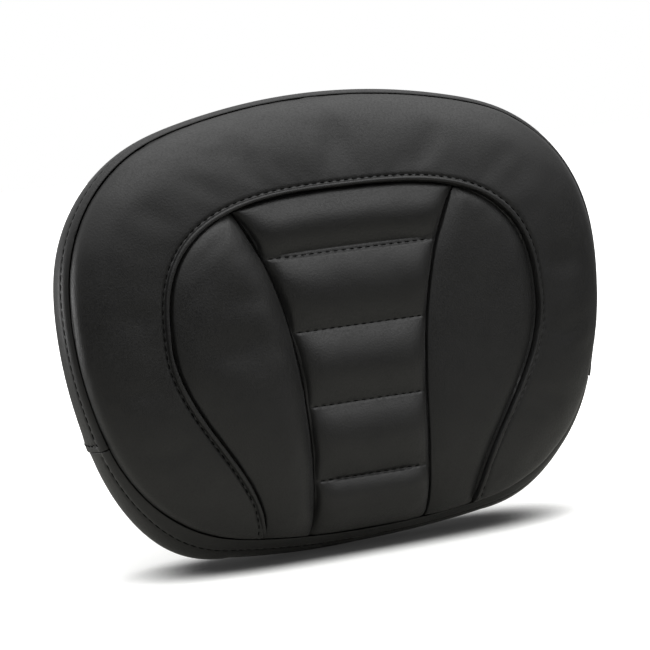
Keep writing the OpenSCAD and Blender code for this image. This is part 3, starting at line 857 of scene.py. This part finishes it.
def make_stitch(length, width):
    bpy.ops.object.select_all(action="DESELECT")
    bpy.ops.mesh.primitive_uv_sphere_add(segments=8, ring_count=6, radius=width / 2 * MM,
                                         rotation=(0, math.pi / 2, 0))
    stitch = bpy.context.object
    bpy.ops.object.transform_apply(location=False, rotation=True, scale=False)
    bpy.ops.transform.resize(value=(length / width, 1, 1), center_override=(0, 0, 0))
    bpy.ops.object.transform_apply(location=False, rotation=False, scale=True)
    for corner in stitch.data.vertices:
        corner.co.x += length / 2 * MM
    return stitch


# %% A row of stitches


def stitch_row(name, points):
    """Thread along a line of points: one stitch, an Array and a Curve modifier, both applied."""
    line = even_points(points, PATH_STEP * MM)
    path = bpy.data.curves.new(name + "_path", "CURVE")
    path.dimensions = "3D"
    spline = path.splines.new("POLY")
    spline.points.add(len(line) - 1)
    for point, place in zip(spline.points, line):
        point.co = (*place, 1)
    path_object = bpy.data.objects.new(name + "_path", path)
    bpy.context.scene.collection.objects.link(path_object)
    row = make_stitch(STITCH, THREAD_W)
    row.name = row.data.name = name
    repeat = row.modifiers.new("Repeat", "ARRAY")
    repeat.use_relative_offset, repeat.use_constant_offset = False, True
    repeat.constant_offset_displace = (PITCH * MM, 0, 0)
    repeat.count = int(len(line) * PATH_STEP / PITCH)
    follow = row.modifiers.new("Follow", "CURVE")
    follow.object, follow.deform_axis = path_object, "POS_X"
    select_only(row)
    bpy.ops.object.modifier_apply(modifier="Repeat")
    bpy.ops.object.modifier_apply(modifier="Follow")
    bpy.data.objects.remove(path_object)
    paint(row, thread)
    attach(row, "root")
    print(name, len(row.data.polygons), "faces")


# %% Rows of thread
for name, line in stitch_places(skin_of(panels.values())).items():
    smooth = [sum((line[max(0, min(len(line) - 1, i + k))][0] for k in (-1, 0, 1)), Vector()) / 3
              for i in range(len(line))]
    lift = STITCHING[kind_of(name)][1]
    stitch_row(name, [spot + normal * lift * MM for spot, (_, normal) in zip(smooth, line)])

# %% [markdown]
# ## Camera
# The photograph was taken from 24 degrees round to the left, slightly above and a little rolled. A camera
# could be moved by hand until it looks right. These numbers come from a fit of a pinhole camera to points
# of the photo, so that render and photo can be laid over each other.

# %% Camera
YAW, ELEVATION, ROLL, DISTANCE, TARGET = 23.7, 5.4, -5.64, 1600.0, Vector((-8, -30, -6.4))
FOCAL_PX, FRAME_PX, SENSOR = 2780.0, 650.0, 36.0
forward = Vector((sin(YAW) * cos(ELEVATION), cos(YAW) * cos(ELEVATION), -sin(ELEVATION)))
level = Vector((cos(YAW), -sin(YAW), 0))
above = level.cross(forward)
right = cos(ROLL) * level + sin(ROLL) * above
up = -sin(ROLL) * level + cos(ROLL) * above
camera = bpy.data.objects.new("Camera", bpy.data.cameras.new("Camera"))
bpy.context.scene.collection.objects.link(camera)
camera.matrix_world = Matrix.Translation((TARGET - forward * DISTANCE) * MM) @ Matrix(
    (right, up, -forward)).transposed().to_4x4()
camera.data.sensor_width = SENSOR
camera.data.lens = FOCAL_PX * SENSOR / FRAME_PX
camera.data.clip_start = 0.01
bpy.context.scene.camera = camera
print("lens:", round(camera.data.lens, 1), "mm")

# %% [markdown]
# ## Floor
# The pad stands on white, with a shadow right under it. A plain white floor would light the underside far
# too much, so the floor has two looks: camera rays see it pale and glowing, other rays see a grey that is
# darker further out. Ambient Occlusion deepens the shadow where pad and floor meet.

# %% Floor, and how its colour changes outwards
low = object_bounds()[0]
bpy.ops.object.select_all(action="DESELECT")
bpy.ops.mesh.primitive_plane_add(size=12, location=(0, 0, low.z))
floor = bpy.context.object
floor.name = "floor"
floor_material, tree, shader, mm = new_material("Pale studio floor")
by_camera = node(tree, "LightPath").outputs["Is Camera Ray"]
away = node(tree, "VectorMath", {"operation": "LENGTH"}, _0=mm).outputs["Value"]
close = rescale(tree, away, 250.0, 750.0, 1.0, 0.0)
lit = ramp(tree, close, [(0.0, "#4c4c4a"), (1.0, "#b9b8b1")])
tone = node(tree, "Mix", {"data_type": "RGBA"}, _0=by_camera, _6=lit, _7=linear("#d0d0ce")).outputs[2]
print("floor at z =", round(low.z / MM, 1), "mm")

# %% Contact shadow and glow of the floor
dark = node(tree, "AmbientOcclusion", Distance=0.042).outputs["AO"]
contact = rescale(tree, dark, 0.4, 0.82, -0.95, 0.0)
keep = node(tree, "Math", {"operation": "MULTIPLY_ADD"}, _0=contact, _1=by_camera, _2=1.0).outputs[0]
shaded = node(tree, "VectorMath", {"operation": "SCALE"}, _0=tone, Scale=keep).outputs[0]
glow = rescale(tree, away, 100.0, 450.0, 0.45, 1.2)
shown = node(tree, "Math", {"operation": "MULTIPLY"}, _0=glow, _1=by_camera).outputs[0]
shown = node(tree, "Math", {"operation": "MULTIPLY"}, _0=shown, _1=keep).outputs[0]
fill(tree, shader, Base_Color=shaded, Roughness=0.8, Specular_IOR_Level=0.1,
     Emission_Color=linear("#ffffff"), Emission_Strength=shown)
floor.data.materials.append(floor_material)
print("floor material:", len(tree.nodes), "nodes")

# %% [markdown]
# ## Surroundings
# Black vinyl shows mostly what it reflects. A white room all round would make it grey, and a black one
# would lose its form. So the camera sees plain white, while of the world the vinyl reflects only a glow
# from overhead and from behind.

# %% World
world = bpy.data.worlds.new("White studio")
bpy.context.scene.world = world
world.use_nodes = True
tree = world.node_tree
parts = node(tree, "SeparateXYZ", Vector=node(tree, "TexCoord").outputs["Generated"])
behind = rescale(tree, parts.outputs["Y"], -0.1, 0.6, 0.01, 0.5)
overhead = rescale(tree, parts.outputs["Z"], 0.1, 0.8, 0.0, 1.1)
both = node(tree, "Math", {"operation": "MAXIMUM"}, _0=behind, _1=overhead).outputs[0]
strength = node(tree, "Mix", {"data_type": "FLOAT"}, A=both, B=1.0,
                Factor=node(tree, "LightPath").outputs["Is Camera Ray"])
fill(tree, tree.nodes["Background"], Color=(1, 1, 1, 1), Strength=strength.outputs[0])
print("world:", world.name)

# %% [markdown]
# ## Lights
# In the photo the top of the pad is bright and its rolls are picked out from the left. Small lamps would
# give hard glints, so large discs are used: a key light above, a weak fill from the right front, and a side
# light low on the left. Their sizes and powers were tuned against the photo.

# %% Lights
# Each row is a name, a place in metres, a diameter in metres and a power in watts.
LOOK_AT = Vector((0, -0.03, 0))
LIGHTS = [("Key light", (0.3, -0.6, 1.4), 2.6, 22.0), ("Fill light", (1.3, -1.5, 0.5), 1.2, 1.0),
          ("Side light", (-1.4, 0.7, -0.08), 0.9, 12.0)]
for name, place, size, power in LIGHTS:
    data = bpy.data.lights.new(name, "AREA")
    data.shape, data.size, data.energy = "DISK", size, power
    light = bpy.data.objects.new(name, data)
    bpy.context.scene.collection.objects.link(light)
    light.location = place
    light.rotation_euler = (LOOK_AT - Vector(place)).to_track_quat("-Z", "Y").to_euler()
bpy.context.scene.view_settings.view_transform = "Standard"
print("lights:", len(LIGHTS))
